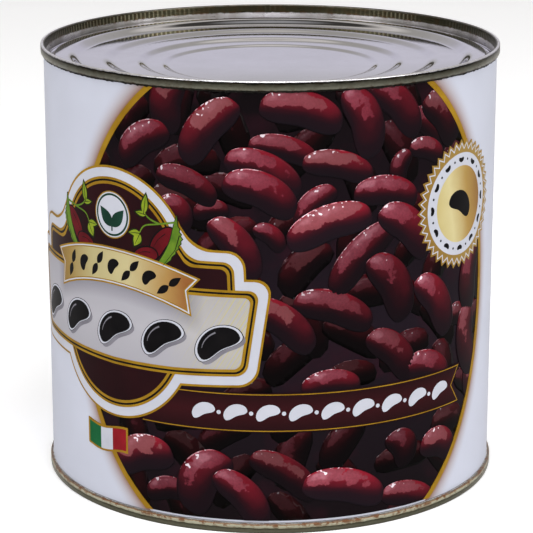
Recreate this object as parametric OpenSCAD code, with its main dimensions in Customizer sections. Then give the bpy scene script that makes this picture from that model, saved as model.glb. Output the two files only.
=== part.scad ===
// A shut steel food can in the large catering size: a printed, welded wall with a
// double-seamed end at the top and the same end at the bottom. The can stands on
// its lower seam, its axis is Z, and the origin is the middle of its base.

/* [Can] */
// Height over both seams
can_h = 150; // [100:1:260]
// Outer diameter of the printed wall
body_d = 155; // [130:1:220]
// Thickness of the wall's sheet
wall_t = 0.25; // [0.2:0.05:0.4]

/* [Double seams] */
// Height of each seam
seam_h = 3.2; // [2.4:0.1:4]
// How far a seam stands out from the printed wall
seam_out = 1; // [0.8:0.1:1.6]
// Width of the flat crest that the can stands on
crest_flat = 0.4; // [0.2:0.1:0.5]
// Rounding of a seam's outer foot, beside the wall
foot_round = 0.5; // [0.2:0.1:0.8]

/* [Ends] */
// Thickness of the end's sheet
end_t = 0.3; // [0.2:0.05:0.4]
// Lean of the chuck wall away from the axis, in degrees
chuck_lean = 4; // [1:1:5]
// Depth of the groove at the foot of the chuck wall, below the crest
groove_depth = 6.4; // [6.4:0.1:8]
// Radius of the bottom of that groove
groove_round = 1.2; // [0.8:0.1:1.2]
// Depth of the outer land, the highest ring of the panel, below the crest
land_depth = 4; // [3.4:0.1:4.1]
// Rounding from the land into the groove
land_round = 1; // [0.5:0.1:1]

/* [Steps of the panel] */
// Width of the level ring outside each step, the land first
ring_w = [3.8, 6.9, 7, 4.5]; // [1:0.1:8]
// Width of each step's slope, the outermost first
step_w = [4.6, 5, 4, 3]; // [2:0.1:6]
// How far the panel drops at each step, the outermost first
step_drop = [1.9, 1.1, 1.1, 0.7]; // [0.4:0.1:2]

/* [Hidden] */
$fn = 180;
arc_parts = 8;   // straight pieces in each small rounding of a section
slope_parts = 8; // straight pieces in each step's slope
enamel = "gainsboro";
tinplate = "silver";
body_r = body_d / 2;
seam_r = body_r + seam_out;
plug_r = body_r - wall_t; // what the end fills inside the wall
groove_z = groove_round - groove_depth;
under_round = groove_round + end_t;
steps = len(step_w);
groove_r = plug_r - under_round / cos(chuck_lean) + (seam_h + groove_z) * tan(chuck_lean);
land_r = groove_r - groove_round - land_round;
crest_in = groove_r + groove_round / cos(chuck_lean) - groove_z * tan(chuck_lean);
crest_round = (seam_r - crest_in - crest_flat) / 2;

// Points along an arc about [r, z], from angle a to angle b
function arc(r, z, radius, a, b) =
    [for (i = [0:arc_parts]) let (t = a + (b - a) * i / arc_parts) [r + radius * cos(t), z + radius * sin(t)]];

// Height of the panel inside its first n steps
function level(n) = n == 0 ? -land_depth : level(n - 1) - step_drop[n - 1];

// Radius at the foot of step n, where its slope meets the lower ring
function foot_r(n) = (n == 0 ? land_r : foot_r(n - 1)) - ring_w[n] - step_w[n];

// One smooth slope, walked outwards from the lower ring to the higher one
function slope(n) =
    [for (i = [0:slope_parts]) let (t = i / slope_parts)
        [foot_r(n) + step_w[n] * t, level(n + 1) + step_drop[n] * (1 - cos(180 * t)) / 2]];

// The panel from the axis out to the land's edge, lowered by a sheet's thickness or by nothing
function panel(lower) =
    [for (p = [[0, level(steps)], for (n = [steps - 1:-1:0]) each slope(n)]) p - [0, lower]];

// The air side of an end: panel, land, groove, chuck wall and the crest's inner rounding
upper_side = [
    each panel(0),
    each arc(land_r, -land_depth - land_round, land_round, 90, 0),
    each arc(groove_r, groove_z, groove_round, 180, 360 - chuck_lean),
    each arc(crest_in + crest_round, -crest_round, crest_round, 180 - chuck_lean, 90)
];

// The seam's outer side, from the crest down to its foot
seam_side = [
    each arc(seam_r - crest_round, -crest_round, crest_round, 90, 0),
    each arc(seam_r - foot_round, foot_round - seam_h, foot_round, 0, -90)
];

// The side that faces the can's inside, from the axis out to the top of the wall's bore
under_side = [
    each panel(end_t),
    each arc(land_r, -land_depth - land_round, land_round - end_t, 90, 0),
    each arc(groove_r, groove_z, under_round, 180, 360 - chuck_lean),
    [plug_r, -seam_h]
];

function backwards(points) = [for (i = [len(points) - 1:-1:0]) points[i]];

// What a fitted end takes away from a plain cylinder: the end itself, the room
// above it and the height of its seam
module end_room() {
    rotate_extrude()
        polygon([each under_side, [seam_r, -seam_h], [seam_r, crest_round], [0, crest_round]]);
}

// The wall and the sealed filling, shaped at both ends by the undersides of the ends
module can_body() {
    color(enamel)
        difference() {
            cylinder(r = body_r, h = can_h);
            translate([0, 0, can_h]) end_room();
            mirror([0, 0, 1]) end_room();
        }
}

// One end with its crest at height zero
module end_sheet() {
    color(tinplate)
        rotate_extrude()
            polygon([each upper_side, each seam_side, each backwards(under_side)]);
}

module top_end() {
    translate([0, 0, can_h]) end_sheet();
}

module bottom_end() {
    mirror([0, 0, 1]) end_sheet();
}

can_body();
top_end();
bottom_end();
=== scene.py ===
import math
import random
import bmesh
import bpy
from mathutils import Matrix, Vector


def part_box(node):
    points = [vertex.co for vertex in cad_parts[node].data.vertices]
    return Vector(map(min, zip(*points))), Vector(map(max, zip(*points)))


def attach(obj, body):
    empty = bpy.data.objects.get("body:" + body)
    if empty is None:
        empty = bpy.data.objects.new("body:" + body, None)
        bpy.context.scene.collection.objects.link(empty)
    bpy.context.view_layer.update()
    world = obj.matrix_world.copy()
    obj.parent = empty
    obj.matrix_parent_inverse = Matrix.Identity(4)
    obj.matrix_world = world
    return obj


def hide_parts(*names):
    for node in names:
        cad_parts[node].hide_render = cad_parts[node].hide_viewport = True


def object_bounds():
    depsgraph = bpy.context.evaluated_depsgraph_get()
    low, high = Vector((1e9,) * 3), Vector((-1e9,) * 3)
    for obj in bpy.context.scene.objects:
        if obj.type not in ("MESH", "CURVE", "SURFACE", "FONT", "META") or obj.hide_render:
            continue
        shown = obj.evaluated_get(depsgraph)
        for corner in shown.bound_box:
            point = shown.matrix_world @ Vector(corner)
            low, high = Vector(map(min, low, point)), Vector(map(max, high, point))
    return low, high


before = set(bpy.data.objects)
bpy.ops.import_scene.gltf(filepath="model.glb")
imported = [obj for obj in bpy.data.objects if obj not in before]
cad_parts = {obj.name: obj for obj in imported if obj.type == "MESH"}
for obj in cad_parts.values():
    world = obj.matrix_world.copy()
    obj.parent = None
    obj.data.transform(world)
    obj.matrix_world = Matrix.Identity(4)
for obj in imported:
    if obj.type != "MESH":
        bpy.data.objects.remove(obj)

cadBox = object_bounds()
mm = 0.001
wallRadius = round(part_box("can_body")[1].x / mm, 2)  # outside of the printed wall
seamRadius = math.floor(min(cadBox[1].x, cadBox[1].y, -cadBox[0].x) / mm * 100) / 100  # just inside the box
canHeight = round(cadBox[1].z / mm, 2)
seamHeight = 3.2
printTop = canHeight - seamHeight - 0.03
degreeWidth = wallRadius * math.radians(1)  # one facet of the wall, laid flat
layoutScale = 0.01  # of the layout map, for each millimetre

# Camera first, at the height and distance of an ordinary pack shot
camera = {"distance": 0.7753, "height": 0.2817, "pitch": 15.33, "turn": 0.095, "lens": 154.18}
cameraData = bpy.data.cameras.new("packCamera")
cameraData.lens = camera["lens"]
cameraData.sensor_width = 36
cameraData.clip_start = 0.05
cameraObject = bpy.data.objects.new("packCamera", cameraData)
bpy.context.scene.collection.objects.link(cameraObject)
cameraObject.location = (0, -camera["distance"], camera["height"])
cameraObject.rotation_euler = (math.radians(90 - camera["pitch"]), 0, math.radians(camera["turn"]))
bpy.context.scene.camera = cameraObject


# Helpers for shader nodes
def ink(red, green, blue):
    return tuple(((c / 255 + 0.055) / 1.055) ** 2.4 if c > 10 else c / 255 / 12.92
                 for c in (red, green, blue)) + (1.0,)


def addNode(tree, kind, inputs=None, **settings):
    node = tree.nodes.new("ShaderNode" + kind)
    for key, value in settings.items():
        setattr(node, key, value)
    for key, value in (inputs or {}).items():
        if isinstance(value, bpy.types.NodeSocket):
            tree.links.new(value, node.inputs[key])
        else:
            node.inputs[key].default_value = value
    return node


def calc(tree, operation, first, second=0.0, clamp=False):
    return addNode(tree, "Math", {0: first, 1: second}, operation=operation, use_clamp=clamp).outputs[0]


def times(tree, first, second):
    return calc(tree, "MULTIPLY", first, second)


def plus(tree, first, second):
    return calc(tree, "ADD", first, second)


def minus(tree, first, second):
    return calc(tree, "SUBTRACT", first, second)


def swing(tree, noise, reach):
    # a noise moved to lie about nought, as wide as reach
    return times(tree, minus(tree, noise, 0.5), reach)


def between(tree, value, low, high):
    # 0 at low, 1 at high, and held at both ends
    return addNode(tree, "MapRange", {"Value": value, "From Min": low, "From Max": high}).outputs[0]


def ramp(tree, factor, stops):
    node = addNode(tree, "ValToRGB", {0: factor})
    elements = node.color_ramp.elements
    while len(elements) < len(stops):
        elements.new(0.5)
    for element, (place, colour) in zip(elements, stops):
        element.position = place
        element.color = colour if len(colour) == 4 else ink(*colour)
    return node.outputs[0]


def blendColours(tree, factor, first, second, mode="MIX"):
    inputs = {0: factor, 6: first, 7: second}
    return addNode(tree, "Mix", inputs, data_type="RGBA", blend_type=mode).outputs[2]


def objectPlace(tree):
    # x, y and z in millimetres
    split = addNode(tree, "SeparateXYZ", {0: addNode(tree, "TexCoord").outputs["Object"]})
    return [times(tree, split.outputs[i], 1 / mm) for i in range(3)]


def layoutPlace(tree):
    # across and up, in millimetres, from the layout map
    split = addNode(tree, "SeparateXYZ", {0: addNode(tree, "UVMap", uv_map="layout").outputs[0]})
    return [times(tree, split.outputs[i], 1 / layoutScale) for i in range(2)]


def objectNoise(tree, size, detail=2.0, stretch=(1, 1, 1), roughness=0.5):
    # size in millimetres
    place = addNode(tree, "TexCoord").outputs["Object"]
    if stretch != (1, 1, 1):
        place = addNode(tree, "Mapping", {"Vector": place, "Scale": stretch}).outputs[0]
    return addNode(tree, "TexNoise", {"Vector": place, "Scale": 1 / (size * mm), "Detail": detail,
                                      "Roughness": roughness}).outputs[0]


def newMaterial(name, roughness=0.4, metallic=0.0, coat=0.0, coatRoughness=0.1):
    material = bpy.data.materials.new(name)
    material.use_nodes = True
    tree = material.node_tree
    shader = tree.nodes["Principled BSDF"]
    for socket, value in (("Roughness", roughness), ("Metallic", metallic), ("Coat Weight", coat),
                          ("Coat Roughness", coatRoughness), ("IOR", 1.5)):
        shader.inputs[socket].default_value = value
    return material, tree, shader


def bump(tree, shader, height, distance, strength=1.0):
    node = addNode(tree, "Bump", {"Height": height, "Distance": distance * mm, "Strength": strength})
    tree.links.new(node.outputs[0], shader.inputs["Normal"])


def paint(tree, shader, colour, socket="Base Color"):
    tree.links.new(colour, shader.inputs[socket])


# Helpers for meshes
def makePiece(name, bm, material, node=None, slot="printed_wall", smooth=False):
    mesh = bpy.data.meshes.new(name)
    bm.to_mesh(mesh)
    bm.free()
    mesh.materials.append(material)
    if smooth:
        mesh.shade_smooth()
    piece = bpy.data.objects.new(name, mesh)
    bpy.context.scene.collection.objects.link(piece)
    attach(piece, "root")
    if node:
        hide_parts(node)
    return piece


def arcPoints(centre, radius, start, end, count):
    return [(centre[0] + radius * math.cos(math.radians(start + (end - start) * i / count)),
             centre[1] + radius * math.sin(math.radians(start + (end - start) * i / count)))
            for i in range(count + 1)]


def mirrored(half, middle):
    # half runs from the middle line outwards and round; its mirror closes the outline
    right = [(middle + x, y) for x, y in half]
    left = [(middle - x, y) for x, y in reversed(half) if x > 0.01]
    return right + left


def flatFace(points):
    bm = bmesh.new()
    face = bm.faces.new([bm.verts.new((x, y, 0)) for x, y in points])
    bm.normal_update()
    if face.normal.z < 0:
        face.normal_flip()
    return bm


def insetFace(bm, distance):
    # the face inside a margin of that width
    inner = bm.copy()
    if distance:
        result = bmesh.ops.inset_region(inner, faces=inner.faces[:], thickness=distance,
                                        use_even_offset=True, use_boundary=True)
        bmesh.ops.delete(inner, geom=result["faces"], context="FACES")
    return inner


def cutPlane(bm, place, direction, clear=False):
    return bmesh.ops.bisect_plane(bm, geom=bm.verts[:] + bm.edges[:] + bm.faces[:], plane_co=place,
                                  plane_no=direction, clear_outer=clear, dist=1e-5)


def cropHeights(bm, low, high):
    cutPlane(bm, (0, high, 0), (0, 1, 0), clear=True)
    cutPlane(bm, (0, low, 0), (0, -1, 0), clear=True)


def cutFacets(bm):
    # cuts along the wall's facets, so that a flat layout bends round the wall without sinking into it
    xs = [vert.co.x for vert in bm.verts]
    for number in range(math.ceil(min(xs) / degreeWidth), math.floor(max(xs) / degreeWidth) + 1):
        cutPlane(bm, (number * degreeWidth, 0, 0), (1, 0, 0))


def inlay(bm, lift, depth=0.05):
    # gives a flat face its thickness, down into the wall
    cutFacets(bm)
    result = bmesh.ops.extrude_face_region(bm, geom=bm.faces[:], use_keep_orig=True)
    bmesh.ops.translate(bm, vec=(0, 0, lift + depth),
                        verts=[v for v in result["geom"] if isinstance(v, bmesh.types.BMVert)])
    bmesh.ops.translate(bm, vec=(0, 0, -depth), verts=bm.verts[:])
    bmesh.ops.recalc_face_normals(bm, faces=bm.faces[:])
    return bm


def joinMeshes(parts):
    whole = bmesh.new()
    for part in parts:
        mesh = bpy.data.meshes.new("part")
        part.to_mesh(mesh)
        whole.from_mesh(mesh)
        bpy.data.meshes.remove(mesh)
        part.free()
    return whole


def wrap(bm, turn):
    # flat layout (across, up, lift) to the round wall, keeping the layout as the piece's UV map
    layout = bm.loops.layers.uv.get("layout") or bm.loops.layers.uv.new("layout")
    for face in bm.faces:
        for loop in face.loops:
            loop[layout].uv = loop.vert.co.xy * layoutScale
    for vert in bm.verts:
        across, up, lift = vert.co
        angle = across / wallRadius + math.radians(turn)
        reach = wallRadius + lift
        vert.co = Vector((reach * math.sin(angle), -reach * math.cos(angle), up)) * mm
    return bm


def printBoth(name, parts, material):
    # the print stands on the front and again on the back
    flat = joinMeshes(parts)
    copy = flat.copy()
    return makePiece(name, joinMeshes([wrap(flat, 0), wrap(copy, 180)]), material)


def printFaces(name, faces, lift, material, gap=0.0):
    # gap is a hair's difference in lift, which keeps neighbours from lying in one plane
    return printBoth(name, [inlay(face, lift + gap * i) for i, face in enumerate(faces)], material)


# Materials
wallLook = {"white": (197, 200, 213), "warm": (190, 193, 205), "halo": (142, 106, 86), "haloWidth": 6.5,
            "haloFall": 1.8, "bare": (128, 128, 132), "bareHeight": 3.55, "bareRag": 0.3}
picture = {"centre": (7.7, 74.5), "across": 81.5, "up": 90.2, "border": 1.9, "low": 4.2}
lacquer = {"roughness": 0.4, "coat": 0.05, "coatRoughness": 0.1, "specular": 0.08}


def lacquerMaterial(name):
    material, tree, shader = newMaterial(name, roughness=lacquer["roughness"], coat=lacquer["coat"],
                                         coatRoughness=lacquer["coatRoughness"])
    shader.inputs["Specular IOR Level"].default_value = lacquer["specular"]
    bump(tree, shader, objectNoise(tree, 34, 1.0, stretch=(1, 1, 0.35)), 0.25, 0.5)
    return material, tree, shader


def wallMaterial():
    # white, with a soft halo outside the picture's border and a bare grey margin at the foot
    material, tree, shader = lacquerMaterial("whiteLacquer")
    x, y, z = objectPlace(tree)
    across = times(tree, times(tree, x, calc(tree, "SIGN", y)), -1.0)
    angle = calc(tree, "ARCTAN2", across, calc(tree, "ABSOLUTE", y))
    u = minus(tree, times(tree, angle, wallRadius), picture["centre"][0])
    u = calc(tree, "DIVIDE", u, picture["across"])
    h = calc(tree, "DIVIDE", minus(tree, z, picture["centre"][1]), picture["up"])
    reach = calc(tree, "SQRT", plus(tree, times(tree, u, u), times(tree, h, h)))
    away = times(tree, minus(tree, reach, 1.0), picture["across"] / wallLook["haloWidth"])
    fade = calc(tree, "POWER", calc(tree, "SUBTRACT", 1.0, away, clamp=True), wallLook["haloFall"])
    fade = times(tree, fade, calc(tree, "GREATER_THAN", reach, 0.99))
    white = ramp(tree, objectNoise(tree, 40, 3.0), [(0.3, wallLook["warm"]), (0.7, wallLook["white"])])
    printed = blendColours(tree, fade, white, ink(*wallLook["halo"]))
    rise = plus(tree, z, swing(tree, objectNoise(tree, 3.0, 3.0), wallLook["bareRag"]))
    bare = between(tree, rise, wallLook["bareHeight"] + 0.07, wallLook["bareHeight"] - 0.05)
    paint(tree, shader, blendColours(tree, bare, printed, ink(*wallLook["bare"])))
    return material


def flatInk(name, dark, light, size=6.0):
    # one printed colour, slightly cloudy
    material, tree, shader = lacquerMaterial(name)
    paint(tree, shader, ramp(tree, objectNoise(tree, size, 3.0), [(0.3, dark), (0.7, light)]))
    return material


def gradedInk(name, stops, low, high, slope=0.0, size=8.0, along="across"):
    # a band of colours that changes across or up the print, with a little grain
    material, tree, shader = lacquerMaterial(name)
    u, h = layoutPlace(tree)
    if along == "up":
        u, h = h, u
    place = between(tree, plus(tree, u, times(tree, h, slope)), low, high)
    grain = swing(tree, objectNoise(tree, size, 3.0), 0.08)
    paint(tree, shader, ramp(tree, plus(tree, place, grain), stops))
    return material


goldInk = flatInk("goldInk", (134, 98, 12), (158, 122, 26), 9.0)
blackInk = flatInk("blackInk", (11, 10, 13), (20, 18, 20))
whiteInk = flatInk("whiteInk", (184, 186, 196), (192, 194, 204), 14.0)
maroonInk = flatInk("maroonInk", (30, 10, 14), (44, 13, 18), 22.0)


def fieldMaterial():
    # the near-black between the beans, violet about the middle, with a dull red glow here and there
    material, tree, shader = lacquerMaterial("darkField")
    height = layoutPlace(tree)[1]
    dark = ramp(tree, between(tree, height, 0.0, 150.0),
                [(0.0, (18, 10, 14)), (0.45, (28, 19, 28)), (0.75, (21, 11, 18)), (1.0, (12, 6, 9))])
    glow = times(tree, between(tree, objectNoise(tree, 16.0, 3.0), 0.5, 0.68), 0.45)
    paint(tree, shader, blendColours(tree, glow, dark, ink(46, 12, 25)))
    return material


print("materials ready")

# The wall
wall = {"segments": 360, "inside": 0.25, "room": 9.5, "step": 0.2}


def spinProfile(points, segments, axisEnds=False):
    # a closed section (radius, height) in millimetres, turned about the can's axis
    bm = bmesh.new()
    verts = [bm.verts.new((r * mm, 0, z * mm)) for r, z in points]
    edges = [bm.edges.new((verts[i], verts[i + 1])) for i in range(len(verts) - 1)]
    if not axisEnds:
        edges.append(bm.edges.new((verts[-1], verts[0])))
    bmesh.ops.spin(bm, geom=verts + edges, cent=(0, 0, 0), axis=(0, 0, 1), angle=math.tau, steps=segments,
                   use_merge=True, use_duplicate=False)
    bmesh.ops.remove_doubles(bm, verts=bm.verts[:], dist=1e-6)
    bmesh.ops.recalc_face_normals(bm, faces=bm.faces[:])
    return bm


plugRadius = wallRadius - wall["inside"]
halfWall = [(0, wall["room"]), (plugRadius - wall["step"], wall["room"]), (plugRadius, seamHeight),
            (wallRadius, seamHeight)]
wallProfile = halfWall + [(r, canHeight - z) for r, z in reversed(halfWall)]
wallMesh = spinProfile(wallProfile, wall["segments"], axisEnds=True)
makePiece("canWall", wallMesh, wallMaterial(), node="can_body")
print("wall made")

# The welded side seam, bare between the two copies of the print
sideSeam = {"across": 121.7, "gap": 0.1}


def bareTin(name, dark, light, roughness, metallic):
    material, tree, shader = newMaterial(name, roughness=roughness, metallic=metallic)
    grain = objectNoise(tree, 5.0, 4.0, stretch=(1, 1, 0.12), roughness=0.6)
    paint(tree, shader, ramp(tree, grain, [(0.3, dark), (0.7, light)]))
    bump(tree, shader, grain, 0.01, 0.3)
    return material


for name, width, lift, tin in (
        ("sideStrip", 6.4, 0.02, bareTin("stripTin", (176, 175, 172), (200, 199, 197), 0.35, 0.55)),
        ("sideWeld", 0.9, 0.06, bareTin("weldTin", (84, 82, 82), (124, 122, 120), 0.45, 1.0))):
    left, right = sideSeam["across"] - width / 2, sideSeam["across"] + width / 2
    low, high = seamHeight + sideSeam["gap"], canHeight - seamHeight - sideSeam["gap"]
    band = flatFace([(left, low), (right, low), (right, high), (left, high)])
    makePiece(name, wrap(inlay(band, lift), 0), tin, slot="tinplate")

# A ragged dark line under the top seam, painted shadow where the seam overhangs the wall
seamShadowLine = {"low": 0.2, "rag": 0.4, "stand": 0.5, "thick": 0.1, "segments": 720}
draw = random.Random(5)
lineTop = canHeight - seamHeight + 0.05
lineLow = lineTop - seamShadowLine["thick"]
lineIn, lineOut = wallRadius - seamShadowLine["thick"], wallRadius + seamShadowLine["stand"]
lineBm = spinProfile([(lineIn, lineTop), (lineIn, lineLow), (lineOut, lineLow), (lineOut, lineTop)],
                     seamShadowLine["segments"])
for vert in sorted(lineBm.verts, key=lambda v: (round(math.atan2(v.co.y, v.co.x), 4), round(v.co.length, 6))):
    if vert.co.z < (lineTop + lineLow) / 2 * mm:
        vert.co.z -= (seamShadowLine["low"] + seamShadowLine["rag"] * draw.random() ** 2) * mm
# the line's near-black ink is painted shadow
makePiece("seamShadowLine", lineBm, flatInk("seamShadowInk", (16, 15, 14), (34, 32, 28), 4.0))
print("side seam made")

# The ends: section as the CAD has it, measured down from the seam's crest
end = {"sheet": 0.3, "lean": 4.0, "grooveDepth": 6.4, "grooveRound": 1.2, "landDepth": 4.0, "landRound": 1.0,
       "crestFlat": 0.4, "footRound": 0.5,
       "ringWidths": (3.8, 6.9, 7.0, 4.5), "stepWidths": (4.6, 5.0, 4.0, 3.0),
       "stepDrops": (1.9, 1.1, 1.1, 0.7), "ribs": 264, "ribDepth": 0.09, "ribFoot": 3.1, "segments": 360}
lean = math.radians(end["lean"])
grooveZ = end["grooveRound"] - end["grooveDepth"]
underRound = end["grooveRound"] + end["sheet"]
grooveR = plugRadius - underRound / math.cos(lean) + (seamHeight + grooveZ) * math.tan(lean)
landR = grooveR - end["grooveRound"] - end["landRound"]
crestIn = grooveR + end["grooveRound"] / math.cos(lean) - grooveZ * math.tan(lean)
crestRound = (seamRadius - crestIn - end["crestFlat"]) / 2


def panelPoints():
    # the stepped panel, from the land in to the axis
    points = []
    radius = landR
    level = -end["landDepth"]
    for ring, width, drop in zip(end["ringWidths"], end["stepWidths"], end["stepDrops"]):
        radius -= ring + width
        for i in range(8, -1, -1):
            t = i / 8
            points.append((radius + width * t, level - drop + drop * (1 - math.cos(math.pi * t)) / 2))
        level -= drop
    return points + [(0.0, level)]


def panelSection():
    # the upper face and the lower one, a sheet apart
    section = []
    for sheet in (0.0, end["sheet"]):
        groove = arcPoints((grooveR, grooveZ), end["grooveRound"] + sheet, 356, 180, 12)
        land = arcPoints((landR, -end["landDepth"] - end["landRound"]), end["landRound"] - sheet, 0, 90, 8)
        section.append(groove + land + [(r, z - sheet) for r, z in panelPoints()])
    return list(reversed(section[0])) + section[1]


def seamSection():
    foot = (crestIn + grooveZ * math.tan(lean), grooveZ)
    chuck = [(crestIn + t * math.tan(lean), t)
             for t in (-4.6, -4.0, -3.5, -3.2, -2.9, -2.4, -1.8, -1.2, -0.8)]
    inside = arcPoints((crestIn + crestRound, -crestRound), crestRound, 176, 90, 6)
    outside = arcPoints((seamRadius - crestRound, -crestRound), crestRound, 90, 0, 6)
    edge = end["footRound"]
    low = arcPoints((seamRadius - edge, edge - seamHeight), edge, 0, -90, 5)
    return [foot] + chuck + inside + outside + low + [(plugRadius, -seamHeight), (plugRadius, grooveZ)]


def ribChuckWall(bm):
    # fine upright ribs pressed into the chuck wall, fading out at its foot and below the crest's rounding
    ribLow, ribHigh = -end["ribFoot"] - 0.2, -0.5
    for vert in bm.verts:
        z = vert.co.z / mm
        radius = math.hypot(vert.co.x, vert.co.y) / mm
        if radius < crestIn + 0.02 and ribLow < z < ribHigh:
            angle = math.atan2(vert.co.y, vert.co.x)
            fall = min(1.0, (z - ribLow) / 0.5) * min(1.0, (ribHigh - z) / 0.4)
            factor = 1 - end["ribDepth"] * fall * (0.5 + 0.5 * math.cos(end["ribs"] * angle)) / radius
            vert.co.x *= factor
            vert.co.y *= factor


def endMesh(section, segments, top, ribs=False, axisEnds=False):
    bm = spinProfile(section, segments, axisEnds)
    if ribs:
        ribChuckWall(bm)
    if top:
        bmesh.ops.translate(bm, vec=(0, 0, canHeight * mm), verts=bm.verts[:])
    else:
        bmesh.ops.scale(bm, vec=(1, 1, -1), verts=bm.verts[:])
        bmesh.ops.recalc_face_normals(bm, faces=bm.faces[:])
    return bm


def panelMaterial():
    # bright smooth tin, faintly clouded and speckled
    material, tree, shader = newMaterial("panelTin", metallic=1.0)
    clouds = objectNoise(tree, 26.0, 4.0, roughness=0.6)
    base = ramp(tree, clouds, [(0.3, (202, 200, 208)), (0.7, (218, 216, 226))])
    specks = times(tree, between(tree, objectNoise(tree, 1.1, 2.0, roughness=0.6), 0.68, 0.74), 0.3)
    paint(tree, shader, blendColours(tree, specks, base, ink(96, 94, 92)))
    scuff = objectNoise(tree, 1.4, 3.0, stretch=(1, 1, 3), roughness=0.7)
    paint(tree, shader, plus(tree, times(tree, scuff, 0.08), 0.025), "Roughness")
    bump(tree, shader, objectNoise(tree, 0.5, 2.0), 0.006, 0.3)
    return material


# the ribs colour is a painted highlight on the rib crests; the inside stops hold painted shade and a painted
# highlight; the dimmer olive colour breaks that highlight into patches
seamLook = {"rubbed": (176, 172, 150), "highlightBreaks": (120, 116, 98), "ribs": (172, 168, 140), "rust": (106, 60, 14),
            "inside": [(0.0, (120, 118, 112)), (0.12, (58, 56, 40)), (0.6, (74, 71, 52)),
                       (0.68, (250, 248, 246)), (1.0, (220, 218, 216))]}


def seamMaterial(name, top, stops, rust):
    # tones by depth below the crest outside, and inside a ribbed band darkened as painted shade in the
    # recess, with a painted highlight below it
    material, tree, shader = newMaterial(name, metallic=1.0)
    x, y, z = objectPlace(tree)
    depth = minus(tree, canHeight, z) if top else z
    uneven = plus(tree, depth, swing(tree, objectNoise(tree, 2.2, 4.0, roughness=0.7), 0.9))
    streak = objectNoise(tree, 7.0, 4.0, stretch=(1, 1, 14), roughness=0.7)
    outside = ramp(tree, between(tree, uneven, 0.0, seamHeight), stops)
    rubbed = times(tree, between(tree, streak, 0.52, 0.72), 0.5)
    outside = blendColours(tree, rubbed, outside, ink(*seamLook["rubbed"]))
    # painted shade on the chuck wall down to the ribs' foot, then a painted highlight below
    inside = ramp(tree, between(tree, uneven, 0.0, 4.6), seamLook["inside"])
    # patchy breaks that dim the painted highlight below the ribs
    cloudy = between(tree, objectNoise(tree, 22.0, 3.0, stretch=(1, 1, 0.2)), 0.42, 0.6)
    highlightBreaks = times(tree, between(tree, uneven, 2.6, 3.0), minus(tree, 1.0, cloudy))
    inside = blendColours(tree, times(tree, highlightBreaks, 0.6), inside, ink(*seamLook["highlightBreaks"]))
    # painted highlights on the crests of the ribs, in patches
    ribs = calc(tree, "COSINE", times(tree, calc(tree, "ARCTAN2", y, x), float(end["ribs"])))
    ribBand = times(tree, calc(tree, "GREATER_THAN", depth, 0.7), calc(tree, "LESS_THAN", depth, 3.0))
    ribHighlight = times(tree, calc(tree, "MAXIMUM", ribs, 0.0), ribBand)
    patchy = times(tree, between(tree, objectNoise(tree, 30.0, 2.0), 0.4, 0.62), 0.55)
    inside = blendColours(tree, times(tree, ribHighlight, patchy), inside, ink(*seamLook["ribs"]))
    radius = calc(tree, "SQRT", plus(tree, times(tree, x, x), times(tree, y, y)))
    base = blendColours(tree, calc(tree, "GREATER_THAN", radius, crestIn + crestRound), inside, outside)
    near = ramp(tree, between(tree, depth, 0.0, 3.6), [(share, (value,) * 3 + (1,)) for share, value in rust])
    spots = times(tree, between(tree, objectNoise(tree, 3.0, 4.0, roughness=0.65), 0.49, 0.56), near)
    paint(tree, shader, blendColours(tree, spots, base, ink(*seamLook["rust"])))
    if not top:
        # the scuffed ledge above the bottom seam's face has lost its shine
        dull = times(tree, between(tree, uneven, 1.75, 2.0), 0.9)
        paint(tree, shader, minus(tree, 1.0, dull), "Metallic")
    gloss = times(tree, between(tree, streak, 0.3, 0.8), 0.2)
    paint(tree, shader, plus(tree, 0.24, gloss), "Roughness")
    bump(tree, shader, streak, 0.02, 0.5)
    return material


# top seam, from the crest down: a painted highlight on the crest, a dark painted reflection just under it,
# further painted reflection tones down the face, and painted shade at the foot where the seam meets the wall
topStops = [(0.0, (246, 244, 248)), (0.1, (216, 214, 218)), (0.15, (30, 29, 25)), (0.26, (50, 49, 43)),
            (0.38, (114, 113, 101)), (0.6, (158, 157, 145)), (0.84, (202, 202, 191)), (0.93, (84, 84, 76)),
            (1.0, (18, 18, 16))]
bottomStops = [(0.0, (82, 81, 70)), (0.1, (146, 144, 128)), (0.3, (166, 164, 147)), (0.48, (140, 138, 120)),
               (0.56, (78, 75, 60)), (0.62, (146, 144, 122)), (0.84, (174, 171, 148)), (0.93, (128, 90, 52)),
               (1.0, (96, 92, 84))]
topRust = [(0.0, 0.1), (0.6, 0.1), (0.8, 0.4), (1.0, 0.1)]
bottomRust = [(0.0, 0.0), (0.5, 0.1), (0.6, 0.5), (0.78, 1.0), (1.0, 0.8)]
panelTin = panelMaterial()
for name, top, stops, rust in (("top", True, topStops, topRust), ("bottom", False, bottomStops, bottomRust)):
    look = {"node": name + "_end", "slot": "tinplate", "smooth": True}
    makePiece(name + "Seam", endMesh(seamSection(), end["ribs"] * 4, top, ribs=True),
              seamMaterial(name + "SeamTin", top, stops, rust), **look)
    makePiece(name + "Panel", endMesh(panelSection(), end["segments"], top, axisEnds=True), panelTin, **look)
print("ends made")

# The oval picture
lifts = {"field": 0.015, "backBeans": 0.03, "backLevels": 0.005, "backRelief": 0.0005, "beans": 0.09,
         "levels": 0.03, "relief": 0.005, "border": 0.25, "ribbon": 0.25, "flag": 0.27, "badge": 0.28,
         "banner": 0.4, "seal": 0.27}
ply = 0.01  # from one printed layer up to the next


def ovalFace(margin=0.0, count=180):
    bm = bmesh.new()
    bmesh.ops.create_circle(bm, cap_ends=True, radius=1, segments=count)
    bmesh.ops.scale(bm, vec=(picture["across"] - margin, picture["up"] - margin, 1), verts=bm.verts[:])
    bmesh.ops.translate(bm, vec=(picture["centre"][0], picture["centre"][1], 0), verts=bm.verts[:])
    return bm


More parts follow.
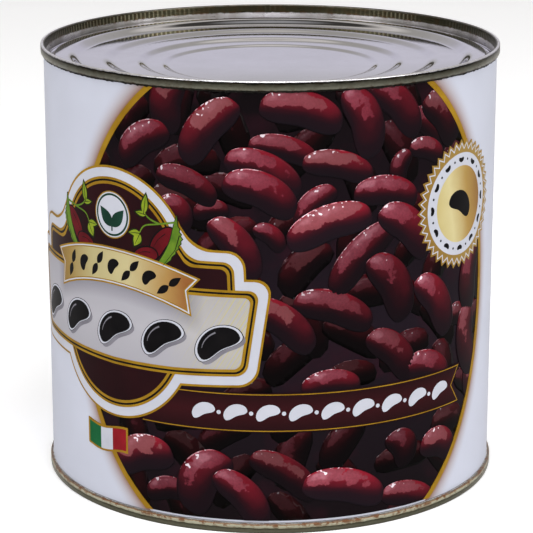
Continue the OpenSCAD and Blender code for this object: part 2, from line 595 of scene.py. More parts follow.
field = ovalFace(0.4)
cropHeights(field, picture["low"], printTop)
printFaces("pictureField", [field], lifts["field"], fieldMaterial())

border = ovalFace()
bmesh.ops.inset_region(border, faces=border.faces[:], thickness=picture["border"], use_even_offset=True,
                       use_boundary=True)
bmesh.ops.delete(border, geom=[max(border.faces, key=lambda face: face.calc_area())], context="FACES")
cropHeights(border, picture["low"], printTop)
printFaces("pictureBorder", [border], lifts["border"], goldInk)
print("oval made")

# The beans in the picture
# across, up, length, width, tilt, tone, level, and a turn about the bean's own length
beans = [
    (-33, 142, 20, 13, 80, 0.8, 1, 10), (-43, 128, 22, 12, 35, 0.75, 2, 0),
    (-20, 134, 26, 13, 50, 1.0, 2, 20), (10, 140, 27, 13, -15, 1.0, 3, 0),
    (30, 136, 24, 13, -70, 0.95, 2, 0), (42, 140, 26, 12, -45, 0.85, 1, 10),
    (62, 134, 22, 14, -50, 0.6, 1, 0), (4, 128, 22, 9, -14, 0.8, 1, 0), (-2, 121, 26, 12, -25, 0.95, 2, 10),
    (-3, 114, 25, 13, -24, 1.0, 3, 0), (22, 122, 24, 10, -14, 0.9, 2, 0), (39, 112, 24, 11, -10, 0.9, 3, 0),
    (14, 110, 17, 9, 45, 0.85, 2, 0), (19, 103, 29, 13, 17, 1.25, 4, 0), (-11, 96, 24, 12, -55, 1.0, 3, 0),
    (30, 92, 30, 12, 45, 0.7, 2, 0), (47, 99, 26, 13, -42, 1.0, 4, 0), (41, 81, 26, 14, -60, 0.7, 3, 0),
    (21, 75, 28, 12, -20, 0.7, 2, 0), (4, 71, 26, 12, -38, 0.85, 3, 0), (60, 72, 26, 13, -55, 1.0, 3, 0),
    (42, 58, 24, 12, -45, 0.65, 2, 0), (20, 50, 20, 10, 0, 0.85, 2, 0), (57, 50, 22, 12, -20, 0.85, 2, 0),
    (80, 77, 24, 13, 80, 0.7, 2, 0), (79, 55, 26, 13, 100, 0.85, 2, 0), (-45, 22, 25, 14, 18, 1.1, 3, 0),
    (-22, 17, 24, 16, 60, 0.85, 2, 0), (-9, 12, 24, 12, -48, 0.95, 3, 0), (25, 14, 29, 13, -14, 1.25, 4, 0),
    (63, 22, 18, 12, -20, 0.95, 3, 0), (50, 7, 24, 10, -18, 0.9, 2, 0), (55, 124, 16, 8, -20, 0.75, 1, 0),
    (44, 120, 12, 8, 70, 0.6, 1, 0), (-27, 116, 22, 10, -22, 0.65, 2, 0), (-31, 106, 14, 11, -60, 0.8, 1, 0),
    (-19, 108, 12, 7, 10, 0.65, 1, 0), (0, 100, 12, 7, -40, 0.8, 1, 0), (46, 25, 14, 12, -60, 0.45, 1, 0),
    (5, 20, 26, 11, -35, 0.6, 1, 0), (-35, 12, 16, 9, 10, 0.6, 1, 0), (-60, 12, 18, 12, 0, 0.7, 1, 0),
    (55, 132, 18, 10, -40, 0.55, 0, 0), (82, 42, 18, 10, 85, 0.75, 1, 0), (72, 65, 12, 9, -20, 0.5, 1, 0),
]


def beanMesh(across, up, length, width, tilt, tone, lift, roll, dim=False):
    # the dim beans behind are many, so they are made of far fewer faces, and flatter
    sides, rings, relief = (8, 7, lifts["backRelief"]) if dim else (16, 24, lifts["relief"])
    bm = bmesh.new()
    bmesh.ops.create_uvsphere(bm, u_segments=sides, v_segments=rings, radius=1)
    toEnds = Matrix.Rotation(math.radians(90), 3, "Y")  # the poles go to the bean's ends
    bmesh.ops.rotate(bm, matrix=toEnds, verts=bm.verts[:])
    for vert in bm.verts:
        x, y, z = vert.co
        full = (max(0.0, 1 - x * x)) ** 0.5
        blunt = full ** 0.72 / full if full > 0.05 else 1.0  # rounder ends than an ellipsoid's
        y = y * blunt - 0.26 * x * x + 0.1
        if y < 0:
            y *= 1 - 0.22 * math.exp(-(x / 0.45) ** 2)  # the waist on the inner side
        vert.co = (x * length / 2, y * width / 2, z * blunt * width * 0.46)
    turn = Matrix.Rotation(math.radians(tilt), 3, "Z") @ Matrix.Rotation(math.radians(roll), 3, "X")
    bmesh.ops.rotate(bm, matrix=turn, verts=bm.verts[:])
    bmesh.ops.recalc_face_normals(bm, faces=bm.faces[:])
    bm.normal_update()
    normals = bm.verts.layers.float_vector.new("beanNormal")
    tones = bm.verts.layers.float.new("beanTone")
    seeds = bm.verts.layers.float.new("beanSeed")
    for vert in bm.verts:
        vert[normals] = vert.normal
        vert[tones] = tone
        vert[seeds] = (across * 7.3 + up * 3.1) % 10
        vert.co.z = lift + vert.co.z * relief
    bmesh.ops.translate(bm, vec=(across, up, 0), verts=bm.verts[:])
    if dim:
        cutFacets(bm)
    return bm


def clipToOval(bm):
    planes = [((0, printTop - 0.02), (0, 1)), ((0, picture["low"]), (0, -1))]
    a, b = picture["across"] - 0.8, picture["up"] - 0.8
    for i in range(72):
        t = math.tau * i / 72
        point = (picture["centre"][0] + a * math.cos(t), picture["centre"][1] + b * math.sin(t))
        planes.append((point, (math.cos(t) / a, math.sin(t) / b)))
    for (px, py), (nx, ny) in planes:
        if any((v.co.x - px) * nx + (v.co.y - py) * ny > 0 for v in bm.verts):
            result = cutPlane(bm, (px, py, 0), (nx, ny, 0), clear=True)
            edges = [e for e in result["geom_cut"] if isinstance(e, bmesh.types.BMEdge)]
            if edges:
                bmesh.ops.edgeloop_fill(bm, edges=edges)
    return bm


beanLook = {"body": [(0.0, (21, 14, 21)), (0.46, (28, 12, 20)), (0.62, (46, 9, 19)), (0.82, (92, 12, 26)),
                     (1.0, (134, 20, 37))],
            "patch": [(0.0, (102, 28, 42)), (0.5, (124, 44, 58)), (0.85, (138, 61, 75)),
                      (1.0, (170, 102, 115))],
            "brownish": (124, 72, 72), "rim": (218, 146, 158), "glint": (238, 222, 230),
            "drop": (234, 206, 216)}


def beanMaterial():
    # wet beans under one broad window: a pale patch with a ragged edge, deep red round it, dark below
    material, tree, shader = lacquerMaterial("beanInks")
    normal = addNode(tree, "Attribute", attribute_name="beanNormal").outputs["Vector"]
    tone, seed = (addNode(tree, "Attribute", attribute_name=name).outputs["Fac"]
                  for name in ("beanTone", "beanSeed"))
    shift = addNode(tree, "CombineXYZ", {0: seed, 1: seed}).outputs[0]
    place = addNode(tree, "VectorMath", {0: addNode(tree, "TexCoord").outputs["Object"], 1: shift}).outputs[0]

    def facing(direction):
        return addNode(tree, "VectorMath", {0: normal, 1: Vector(direction).normalized()},
                       operation="DOT_PRODUCT").outputs["Value"]

    def noise(size, detail, reach=1.0):
        cloud = addNode(tree, "TexNoise", {"Vector": place, "Scale": 1 / (size * mm), "Detail": detail})
        return swing(tree, cloud.outputs[0], reach)

    fall = plus(tree, facing((-0.1, 0.85, 0.5)), noise(7.0, 2.0, 0.3))
    body = ramp(tree, between(tree, fall, -0.6, 1.0), beanLook["body"])
    ragged = plus(tree, noise(4.5, 3.0, 0.55), noise(1.2, 2.0, 0.12))
    window = plus(tree, facing((-0.18, 0.62, 0.76)), ragged)
    sheen = plus(tree, facing((-0.3, 0.62, 0.72)), noise(3.5, 1.0, 0.2))
    patchTone = ramp(tree, between(tree, sheen, 0.55, 1.0), beanLook["patch"])
    mottle = ramp(tree, between(tree, noise(0.7, 3.0), -0.2, 0.2),
                  [(0.0, (120, 120, 120)), (1.0, (255, 250, 250))])
    patchTone = blendColours(tree, 0.35, patchTone, mottle, "MULTIPLY")
    brownish = times(tree, between(tree, seed, 5.0, 9.0), 0.55)  # some beans are paler and browner
    patchTone = blendColours(tree, brownish, patchTone, ink(*beanLook["brownish"]))
    colour = blendColours(tree, between(tree, window, 0.8, 0.83), body, patchTone)
    nearEdge = times(tree, between(tree, facing((0, 0, 1)), 0.34, 0.2),
                     between(tree, facing((-0.4, 0.92, 0)), 0.72, 0.9))
    rim = times(tree, times(tree, nearEdge, between(tree, noise(2.6, 3.0), -0.05, 0.06)), 0.9)
    glint = plus(tree, facing((-0.3, 0.8, 0.52)), noise(1.5, 1.0, 0.95))
    drops = times(tree, nearEdge, between(tree, noise(0.9, 0.0), 0.12, 0.17))
    for name, share in (("rim", rim), ("glint", between(tree, glint, 1.07, 1.12)), ("drop", drops)):
        colour = blendColours(tree, share, colour, ink(*beanLook[name]))
    paint(tree, shader, blendColours(tree, 1.0, colour, tone, "MULTIPLY"))
    return material


def backBeans():
    # dim beans that fill some of the gaps behind the others, each at a level unlike its neighbours'
    draw = random.Random(11)
    middleAcross, middleUp = picture["centre"]
    rows = []
    for i in range(9):
        for j in range(9):
            across = middleAcross - 76 + i * 19 + draw.uniform(-4, 4)
            up = 8 + j * 16.5 + draw.uniform(-4, 4) + (8 if i % 2 else 0)
            lift = lifts["backBeans"] + lifts["backLevels"] * (i % 3 * 3 + j % 3)
            row = (across, up, draw.uniform(18, 25), draw.uniform(10, 13), draw.uniform(-80, 80),
                   draw.uniform(0.12, 0.3), lift, draw.uniform(-60, 60))
            if ((across - middleAcross) / 84) ** 2 + ((up - middleUp) / 92) ** 2 < 1:
                rows.append(row)
    return rows


beanInks = beanMaterial()
for turn, side in ((0, "Front"), (180, "Back")):
    parts = [beanMesh(*row, dim=True) for row in backBeans()]
    for *row, level, roll in beans:
        parts.append(beanMesh(*row, lifts["beans"] + level * lifts["levels"], roll))
    whole = joinMeshes([clipToOval(bm) for bm in parts])
    makePiece("beans" + side, wrap(whole, turn), beanInks, smooth=True)
print("beans made")

# The ribbon under the badge
ribbon = {"low": 34.7, "high": 48.1, "left": -44, "right": 74.0, "notch": 69.6, "line": 0.34, "margin": 0.35}


def ribbonFace(margin):
    low, high = ribbon["low"] + margin, ribbon["high"] - margin
    right = ribbon["right"] - margin * 1.8
    return flatFace([(ribbon["left"], low), (right, low), (ribbon["notch"] - margin * 1.3, (low + high) / 2),
                     (right, high), (ribbon["left"], high)])


ribbonInk = gradedInk("ribbonInk", [(0.0, (30, 10, 13)), (0.5, (54, 14, 19)), (1.0, (31, 11, 14))],
                      34.0, 49.0, size=20.0, along="up")
ribbonLayers = (("Field", 0, ribbonInk), ("Line", ribbon["margin"], goldInk),
                ("Centre", ribbon["margin"] + ribbon["line"], ribbonInk))
for i, (name, margin, colours) in enumerate(ribbonLayers):
    printFaces("ribbon" + name, [ribbonFace(margin)], lifts["ribbon"] + ply * i, colours)


def beanOutline(length, width, bend=0.2, count=28):
    # a flat kidney bean about the origin
    points = []
    for i in range(count):
        t = math.tau * i / count
        x = math.cos(t)
        y = math.copysign(abs(math.sin(t)) ** 0.8, math.sin(t))
        y -= bend * (2 * x * x - 0.9)
        if math.sin(t) < 0:
            y += 0.22 * math.exp(-(x / 0.5) ** 2)
        points.append((x * length / 2, y * width / 2))
    return points


def leafOutline(length, width, count=9):
    # a pointed leaf along +x, its stalk at the origin
    upper = [(length * i / count, width / 2 * math.sin(math.pi * (i / count) ** 0.8))
             for i in range(count + 1)]
    lower = [(x, -y) for x, y in reversed(upper[1:-1])]
    return upper + lower


def strip(points, width, taper=0.4):
    # a thin stroke along a few points, narrowing to its far end
    left, right = [], []
    for i, (x, y) in enumerate(points):
        x0, y0 = points[max(0, i - 1)]
        x1, y1 = points[min(len(points) - 1, i + 1)]
        size = math.hypot(x1 - x0, y1 - y0)
        half = width / 2 * (1 - (1 - taper) * i / (len(points) - 1))
        left.append((x - (y1 - y0) / size * half, y + (x1 - x0) / size * half))
        right.append((x + (y1 - y0) / size * half, y - (x1 - x0) / size * half))
    return left + list(reversed(right))


def placed(points, place, turn=0.0, scale=1.0):
    c = math.cos(math.radians(turn)) * scale
    s = math.sin(math.radians(turn)) * scale
    return [(place[0] + x * c - y * s, place[1] + x * s + y * c) for x, y in points]


def disc(centre, radius, count=64):
    return flatFace(arcPoints(centre, radius, 0, 360 - 360 / count, count - 1))


ribbonRow = {"first": -22.0, "gap": 10.6, "count": 9, "length": 8.2, "width": 4.5, "up": 41.4, "tilt": 24,
             "dot": 0.7}
whiteBeans = []
for i in range(ribbonRow["count"]):
    across, up = ribbonRow["first"] + i * ribbonRow["gap"], ribbonRow["up"]
    shape = beanOutline(ribbonRow["length"], ribbonRow["width"])
    whiteBeans.append(flatFace(placed(shape, (across, up), ribbonRow["tilt"])))
    if i < ribbonRow["count"] - 1:
        whiteBeans.append(disc((across + ribbonRow["gap"] / 2, up - 0.2), ribbonRow["dot"], 24))
printFaces("ribbonBeans", whiteBeans, lifts["ribbon"] + ply * 3, whiteInk)
print("ribbon made")

# The badge: dome with shoulders, wide plate and bulb, one behind another
badge = {"middle": -55.6, "edge": 0.0, "white": 0.75, "gold": 3.7, "black": 4.5, "goldInner": 5.15,
         "field": 6.1, "step": 0.012}
banner = {"up": 91.9, "low": 79.2, "drop": 6.6, "half": 33.2, "tail": 30.1, "gold": 0.55, "white": 1.0,
          "inner": 1.35}


def domeFace():
    arc = arcPoints((0, 89.3), 29.5, 90, 26, 14)
    return flatFace(mirrored(arc + [(31.6, 95.2), (47.6, 95.2), (48.6, 72)], badge["middle"]))


def plateFace():
    points = mirrored([(0, 86), (56.6, 86), (51.3, 50.2), (24, 48.9)], badge["middle"])
    points.insert(4, (badge["middle"], 48.4))
    return flatFace(points)


def bulbFace():
    arc = arcPoints((0, 64.1), 30.3, -90, -30, 16)
    return flatFace(mirrored(arc + [(33.7, 62)], badge["middle"]))


def roundSharp(bm, radius):
    # rounds each corner that turns by more than forty degrees
    for vert in bm.verts[:]:
        first, second = (edge.other_vert(vert).co - vert.co for edge in vert.link_edges)
        if first.angle(second) < math.radians(140):
            bmesh.ops.bevel(bm, geom=[vert], offset=radius, segments=6, profile=0.5, affect="VERTICES",
                            material=-1)
    return bm


dome, plate, bulb = domeFace(), plateFace(), bulbFace()
badgeLift, step = lifts["badge"], badge["step"]


def layersOf(shapes, name, level):
    # the same margin taken off each shape, with a hair's difference in lift
    margin = badge[name]
    radius = max(1.6, 5.6 - 0.55 * margin)
    return [inlay(roundSharp(insetFace(shape, margin), radius), badgeLift + step * level + 0.002 * i)
            for i, shape in enumerate(shapes)]


outerShapes = [dome, plate, bulb]
roundShapes = [dome, bulb]
printBoth("badgeGold", layersOf(outerShapes, "edge", 0) + layersOf(roundShapes, "gold", 2)
          + layersOf(roundShapes, "goldInner", 4) + layersOf([plate], "gold", 6)
          + layersOf([plate], "goldInner", 8), goldInk)
printBoth("badgeWhite", layersOf(outerShapes, "white", 1), whiteInk)
printBoth("badgeBlack", layersOf(roundShapes, "black", 3) + layersOf([plate], "black", 7), blackInk)
printBoth("badgeMaroon", layersOf(roundShapes, "field", 5), maroonInk)


def plateMaterial():
    # silver grey, softly shaded under the banner and warmed by slanting streaks towards the right end
    material, tree, shader = lacquerMaterial("plateInk")
    u, h = layoutPlace(tree)
    silver = ramp(tree, between(tree, h, 52.0, 82.0),
                  [(0.0, (162, 160, 167)), (0.5, (174, 172, 178)), (1.0, (162, 160, 168))])
    middle = calc(tree, "DIVIDE", minus(tree, u, badge["middle"]), banner["tail"])
    edge = minus(tree, banner["low"], times(tree, times(tree, middle, middle), banner["drop"]))
    below = calc(tree, "DIVIDE", minus(tree, edge, h), 5.5)
    under = calc(tree, "SUBTRACT", 1.0, below, clamp=True)
    inside = between(tree, calc(tree, "ABSOLUTE", middle), 1.14, 0.96)
    silver = blendColours(tree, times(tree, times(tree, under, inside), 0.5), silver, ink(98, 95, 104))
    slant = plus(tree, u, times(tree, h, -0.6))
    streaks = addNode(tree, "TexNoise", {"W": times(tree, slant, 0.3), "Detail": 0.6}, noise_dimensions="1D")
    warm = times(tree, between(tree, u, -34.0, -8.0), between(tree, streaks.outputs[0], 0.35, 0.75))
    paint(tree, shader, blendColours(tree, times(tree, warm, 0.8), silver, ink(188, 177, 108)))
    return material


printBoth("badgePlate", layersOf([plate], "field", 9), plateMaterial())
print("badge made")

# Five plain dark beans on the plate, each in five layers
plateBeans = {"places": (-95, -75.5, -56, -36.5, -17), "up": 64.5, "length": 15.5, "width": 8.2, "tilt": 32}
greyInk = flatInk("greyInk", (112, 110, 118), (128, 126, 134))
beanShape = beanOutline(plateBeans["length"], plateBeans["width"])
shineShape = strip([(x * 0.78, y * 0.7) for x, y in beanShape[6:13]], 0.55, 0.3)
plateLift = badgeLift + step * 9
plateLayers = (("Shade", beanShape, 1.1, 1.0, greyInk), ("Hairline", beanShape, 1.15, 0.0, blackInk),
               ("Edge", beanShape, 1.11, 0.0, whiteInk), ("Core", beanShape, 1.0, 0.0, blackInk),
               ("Shine", shineShape, 1.0, 0.0, greyInk))
for i, (name, shape, scale, shift, colours) in enumerate(plateLayers):
    faces = [flatFace(placed(shape, (across + shift, plateBeans["up"] - shift), plateBeans["tilt"], scale))
             for across in plateBeans["places"]]
    printFaces("plateBean" + name, faces, plateLift + ply * (i + 1), colours)

# Vines, pods and beans on the dome, mirrored about its middle
green = {"dark": flatInk("leafEdge", (22, 30, 14), (34, 44, 20)),
         "leaf": flatInk("leafGreen", (108, 134, 26), (144, 158, 38), 3.0),
         "pod": flatInk("podGreen", (74, 108, 28), (104, 134, 36), 4.0)}
podRed = flatInk("podRed", (78, 10, 18), (104, 15, 24), 5.0)


def smoothLine(points, count=6):
    # a soft curve through given points
    line = []
    for i in range(len(points) - 1):
        p0, p1, p2, p3 = (Vector(points[min(max(k, 0), len(points) - 1)]) for k in (i - 1, i, i + 1, i + 2))
        for j in range(count):
            t = j / count
            line.append(tuple(0.5 * ((2 * p1) + (p2 - p0) * t + (2 * p0 - 5 * p1 + 4 * p2 - p3) * t * t
                                     + (3 * p1 - p0 - 3 * p2 + p3) * t ** 3)))
    return line + [tuple(points[-1])]


def podOutline():
    # a long toothed leaf, narrow at the top
    spine = smoothLine([(-0.6, 16.4), (0.2, 12.0), (1.0, 8.0), (3.4, 3.6), (7.6, -1.6)], 5)
    left, right = [], []
    for i, (x, y) in enumerate(spine):
        share = i / (len(spine) - 1)
        teeth = 0.5 if i % 2 and share > 0.2 else 0.0
        left.append((x - 0.15 - teeth - 3.0 * min(1.0, share * 2.2) ** 1.2, y))
        right.append((x + 0.15 + 0.9 * math.sin(math.pi * share), y))
    return left + list(reversed(right))


sprigs = {"stems": [[(-24.7, 103.3), (-18, 102.0), (-13.5, 101.0), (-11.6, 98.6), (-11.0, 96.6)],
                    [(-19.0, 102.2), (-15.6, 103.4), (-13.6, 105.2), (-12.6, 108.2)]],
          "leaves": [((-13.2, 104.8), 98, 6.8, 2.6), ((-14.2, 104.6), 8, 4.4, 2.0),
                     ((-11.6, 98.0), -62, 5.0, 3.4), ((-11.8, 98.2), -2, 4.8, 2.4)],
          "beans": [((-19.8, 96.2), -52, 12.4, 5.5), ((-13.4, 91.0), -18, 9.6, 5.0)], "pod": (-24.6, 89.2)}
domeLift = badgeLift + step * 5
# name, margin, lift, gap and ink, from the lowest layer up
sprigLayers = (("BeanEdges", 0.0, 0.004, 0.005, blackInk), ("Beans", 0.0, 0.0065, 0.005, podRed),
               ("BeanLines", 0.0, 0.0235, 0.0003, blackInk), ("PodEdges", 0.0, 0.026, 0.0, green["dark"]),
               ("Pods", 0.28, 0.032, 0.0, green["pod"]), ("Stems", 0.0, 0.038, 0.001, green["pod"]),
               ("LeafEdges", 0.0, 0.044, 0.001, green["dark"]), ("Leaves", 0.0, 0.054, 0.001, green["leaf"]),
               ("Ribs", 0.0, 0.064, 0.001, green["dark"]))
sprigParts = {layer[0]: [] for layer in sprigLayers}


def addSprig(kind, points, place=(0, 0), turn=0.0):
    sprigParts[kind].append(placed(points, place, turn))


for line in sprigs["stems"]:
    addSprig("Stems", strip(smoothLine(line), 0.65))
for place, turn, length, width in sprigs["leaves"]:
    addSprig("LeafEdges", leafOutline(length + 0.6, width + 0.6), place, turn)
    addSprig("Leaves", leafOutline(length - 0.2, width - 0.3), place, turn)
    addSprig("Ribs", strip([(0, 0), (length / 2, 0), (length * 0.85, 0)], 0.3), place, turn)
addSprig("PodEdges", podOutline(), sprigs["pod"])
addSprig("Pods", podOutline(), sprigs["pod"])
addSprig("Ribs", strip([(-1.6, 10.0), (0.0, 5.0), (4.4, -0.6)], 0.35), sprigs["pod"])
for place, turn, length, width in sprigs["beans"]:
    addSprig("BeanEdges", beanOutline(length + 1.0, width + 1.0, 0.1), place, turn)
    addSprig("Beans", beanOutline(length, width, 0.1), place, turn)
    crease = [(-length * 0.26, width * 0.14), (0, width * 0.27), (length * 0.22, width * 0.24)]
    addSprig("BeanLines", strip(smoothLine(crease), 0.3), place, turn)
for kind, margin, lift, gap, colours in sprigLayers:
    # every shape once for each side of the dome
    faces = [insetFace(flatFace([(badge["middle"] - side * x, y) for x, y in points]), margin)
             for side in (-1, 1) for points in sprigParts[kind]]
    printFaces("sprig" + kind, faces, domeLift + lift, colours, gap)

# The round medallion, left plain but for a pair of leaves
medallion = {"centre": (-55.7, 102.6), "radius": 7.9, "leaf": (8.2, 4.2), "stalk": 0.3}
ringGreen = flatInk("ringGreen", (20, 52, 40), (28, 64, 50))
medallionRings = (("Gold", 0.0, goldInk), ("Rim", 0.4, whiteInk), ("Ring", 0.8, ringGreen),
                  ("Field", 1.5, whiteInk))
for i, (name, margin, colours) in enumerate(medallionRings):
    face = disc(medallion["centre"], medallion["radius"] - margin)
    printFaces("medallion" + name, [face], domeLift + ply * (i + 1), colours)
half = medallion["stalk"]
leaves = [flatFace(placed(placed(leafOutline(*medallion["leaf"]), (0, -4.0), turn), medallion["centre"]))
          for turn in (50, 130)]
stalk = flatFace(placed([(-half, -5.4), (half, -5.4), (half, -3.4), (-half, -3.4)], medallion["centre"]))
printFaces("medallionLeaves", leaves + [stalk], domeLift + ply * 5, ringGreen, gap=0.002)

# The arched banner
def bannerFace():
    def arch(level, reach, places):
        return [(x, banner[level] - banner["drop"] * (x / banner[reach]) ** 2) for x in places]

    tail = [(banner["half"], 85.4), (28.9, 80.9), (banner["tail"], 72.6)]
    half = arch("up", "half", (0, 5, 10, 15, 20, 25, 29)) + tail + arch("low", "tail", (25, 20, 15, 10, 5))
    points = mirrored(half, badge["middle"])
    points.insert(len(half), (badge["middle"], banner["low"]))
    return flatFace(points)


bannerInk = gradedInk("bannerInk", [(0.0, (130, 98, 44)), (0.14, (152, 124, 66)), (0.36, (180, 168, 120)),
                                    (0.6, (190, 178, 132)), (0.82, (166, 130, 74)), (0.93, (140, 88, 44)),
                                    (1.0, (126, 76, 38))], -89.0, -22.0)
lift = lifts["banner"]
whole = bannerFace()
printFaces("bannerEdge", [insetFace(whole, 0), insetFace(whole, banner["white"])], lift, goldInk, gap=ply * 2)
printFaces("bannerWhite", [insetFace(whole, banner["gold"])], lift + ply, whiteInk)
printFaces("bannerField", [insetFace(whole, banner["inner"])], lift + ply * 3, bannerInk)

bannerRow = {"count": 7, "gap": 7.4, "up": 85.4, "bend": 31.5, "leaf": (5.4, 2.5), "bean": (6.0, 3.8)}
sprig = []
for i in range(bannerRow["count"]):
    number = i - bannerRow["count"] // 2
    across = number * bannerRow["gap"]
    up = bannerRow["up"] - banner["drop"] * (across / bannerRow["bend"]) ** 2
    turn = -math.degrees(math.atan(2 * banner["drop"] * across / bannerRow["bend"] ** 2))
    leaf, bean = leafOutline(*bannerRow["leaf"]), beanOutline(*bannerRow["bean"])
    for shape, lean in ((leaf, 52), (leaf, -128)) if number % 2 else ((bean, 50),):
        sprig.append(flatFace(placed(shape, (badge["middle"] + across, up), turn + lean)))
printFaces("bannerSprig", sprig, lift + ply * 4, blackInk, gap=0.001)
print("banner made")

# The toothed seal
seal = {"centre": (72.4, 103.3), "spikes": 40, "outer": 21.6, "depth": 2.0, "ring": 17.1, "disc": 12.8,
        "marks": 24, "markRing": 14.95, "markBean": (3.0, 1.7), "dot": 0.42, "bean": (13.5, 7.6)}


def sealPoint(radius, angle):
    # a point of the seal at an angle in radians
    return seal["centre"][0] + radius * math.cos(angle), seal["centre"][1] + radius * math.sin(angle)


def starFace(margin):
    outer, count = seal["outer"] - margin, seal["spikes"] * 2
    return flatFace([sealPoint(outer - (seal["depth"] if i % 2 else 0), math.tau * i / count)
                     for i in range(count)])


lift = lifts["seal"]
sealInk = gradedInk("sealInk", [(0.0, (114, 84, 30)), (0.5, (134, 102, 42)), (1.0, (150, 122, 62))],
                    50.0, 94.0, 0.2)
discInk = gradedInk("discInk", [(0.0, (126, 94, 36)), (0.25, (164, 138, 72)), (0.45, (184, 166, 106)),
                                (0.62, (202, 190, 140)), (0.8, (166, 134, 72)), (1.0, (128, 86, 40))],
                    46.0, 100.0, 0.12)
printFaces("sealTeeth", [starFace(0), starFace(1.6)], lift, sealInk, gap=ply * 2)
printFaces("sealZigzag", [starFace(1.0)], lift + ply, whiteInk)
printFaces("sealRing", [disc(seal["centre"], seal["ring"], 96)], lift + ply * 3, whiteInk)
printFaces("sealDisc", [disc(seal["centre"], seal["disc"], 96)], lift + ply * 4, discInk)
marks = []
for i in range(seal["marks"]):
    turn = 360 / seal["marks"] * i
    place = sealPoint(seal["markRing"], math.radians(turn))
    if i % 2:
        marks.append(disc(place, seal["dot"], 16))
    else:
        marks.append(flatFace(placed(beanOutline(*seal["markBean"], count=18), place, turn + 90)))
marks.append(flatFace(placed(beanOutline(*seal["bean"]), seal["centre"], -28)))
printFaces("sealMarks", marks, lift + ply * 5, blackInk)
print("seal made")

# The small waving flag, three plain bands
flag = {"left": -69.9, "right": -50.4, "low": 20.9, "high": 29.9, "wave": 0.75, "edge": 0.75,
        "bands": (("Green", 0, 0.34, ((12, 84, 44), (22, 98, 56))),
                  ("White", 0.34, 0.66, ((180, 182, 192), (188, 190, 200))),
                  ("Red", 0.66, 1, ((120, 12, 22), (140, 18, 30))))}


def flagBand(first, last, margin):
    # one upright band of the flag between two shares of its width
    whole = flag["right"] - flag["left"]
    left, width = flag["left"] + margin, whole - 2 * margin
    across = [left + width * (first + (last - first) * i / 8) for i in range(9)]
    swell = [flag["wave"] * math.sin((x - flag["left"]) / whole * math.tau * 0.9 + 2.6) for x in across]
    top = [(x, flag["high"] - margin + w) for x, w in zip(across, swell)]
    low = [(x, flag["low"] + margin + w) for x, w in zip(across, swell)]
    return flatFace(top + list(reversed(low)))


lift = lifts["flag"]
printFaces("flagEdge", [flagBand(0, 1, 0)], lift, goldInk)
for name, first, last, colours in flag["bands"]:
    name = "flag" + name
    printFaces(name, [flagBand(first, last, flag["edge"])], lift + ply, flatInk(name + "Ink", *colours))
print("flag made")

# Floor, light and room
bpy.context.scene.view_settings.view_transform = "Standard"
room = {"floor": [(0.0, (246, 246, 248)), (1.0, (250, 250, 252))], "backdrop": 1.0, "size": 6}
floorBm = bmesh.new()
bmesh.ops.create_grid(floorBm, x_segments=1, y_segments=1, size=room["size"])
floorMesh = bpy.data.meshes.new("floor")
floorBm.to_mesh(floorMesh)
floorBm.free()
floor = bpy.data.objects.new("floor", floorMesh)
bpy.context.scene.collection.objects.link(floor)
floorPaint, floorTree, floorShader = newMaterial("floorPaint", roughness=0.7)
floorShader.inputs["Emission Color"].default_value = (1, 1, 1, 1)
floorShader.inputs["Emission Strength"].default_value = 0.25
paint(floorTree, floorShader, ramp(floorTree, objectNoise(floorTree, 400, 1.0), room["floor"]))
floorMesh.materials.append(floorPaint)
floor.visible_glossy = False  # metal and lacquer mirror the dim lower half of the room instead


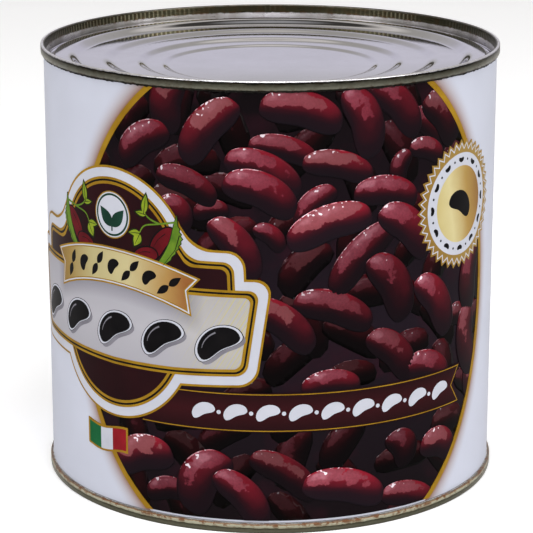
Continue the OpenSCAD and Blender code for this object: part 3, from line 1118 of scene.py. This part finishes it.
def studioWorld():
    world = bpy.data.worlds.new("studio")
    bpy.context.scene.world = world
    world.use_nodes = True
    tree = world.node_tree
    background = tree.nodes["Background"]
    direction = addNode(tree, "SeparateXYZ", {0: addNode(tree, "TexCoord").outputs["Generated"]})
    height = between(tree, direction.outputs[2], -1.0, 1.0)
    tone = ramp(tree, height, [(0.0, (210, 208, 198)), (0.45, (208, 206, 196)), (0.475, (84, 82, 72)),
                               (0.51, (84, 82, 72)), (0.54, (180, 178, 172)), (0.588, (216, 214, 222)),
                               (0.655, (214, 212, 220)), (0.69, (196, 194, 196)), (0.76, (180, 178, 172)),
                               (0.84, (176, 174, 164)), (0.875, (236, 232, 220)), (0.9, (226, 222, 210)),
                               (0.925, (72, 70, 64)), (0.955, (72, 70, 64)), (0.98, (200, 200, 196)),
                               (1.0, (200, 200, 200))])
    front = between(tree, direction.outputs[1], -0.3, 0.7)
    dim = ramp(tree, front, [(0.0, (178, 178, 176)), (1.0, (255, 255, 255))])
    glow = times(tree, between(tree, direction.outputs[2], 0.02, 0.1),
                 between(tree, direction.outputs[2], 0.42, 0.3))  # a brighter band low in front
    shade = blendColours(tree, 1.0, tone, blendColours(tree, glow, dim, ink(250, 250, 252)), "MULTIPLY")
    # below eye level the room is darker to the sides and behind, and the seams' upright faces mirror it
    around = ramp(tree, between(tree, direction.outputs[1], -1.0, 1.0),
                  [(0.0, (255, 255, 255)), (0.21, (244, 244, 244)), (0.61, (194, 195, 198)),
                   (0.75, (194, 195, 204)), (0.96, (246, 244, 255))])
    low = between(tree, direction.outputs[2], -0.05, -0.12)
    shade = blendColours(tree, low, shade, blendColours(tree, 1.0, shade, around, "MULTIPLY"))
    seen = addNode(tree, "LightPath").outputs["Is Camera Ray"]
    tree.links.new(blendColours(tree, seen, shade, ink(255, 255, 255)), background.inputs[0])
    background.inputs[1].default_value = room["backdrop"]


studioWorld()


def softLight(name, place, size, power):
    # a square lamp aimed at the middle of the can
    data = bpy.data.lights.new(name, "AREA")
    data.shape = "RECTANGLE"
    data.size = data.size_y = size
    data.energy = power
    light = bpy.data.objects.new(name, data)
    light.location = place
    light.rotation_euler = (Vector(place) - Vector((0, 0, 0.08))).to_track_quat("Z", "Y").to_euler()
    bpy.context.scene.collection.objects.link(light)


softLight("softLeft", (-1.3, -1.1, 1.1), 1.0, 9)
softLight("softRight", (1.4, -0.9, 1.1), 1.0, 14)
softLight("softTop", (0, -0.6, 1.8), 1.2, 22)
print("studio made")
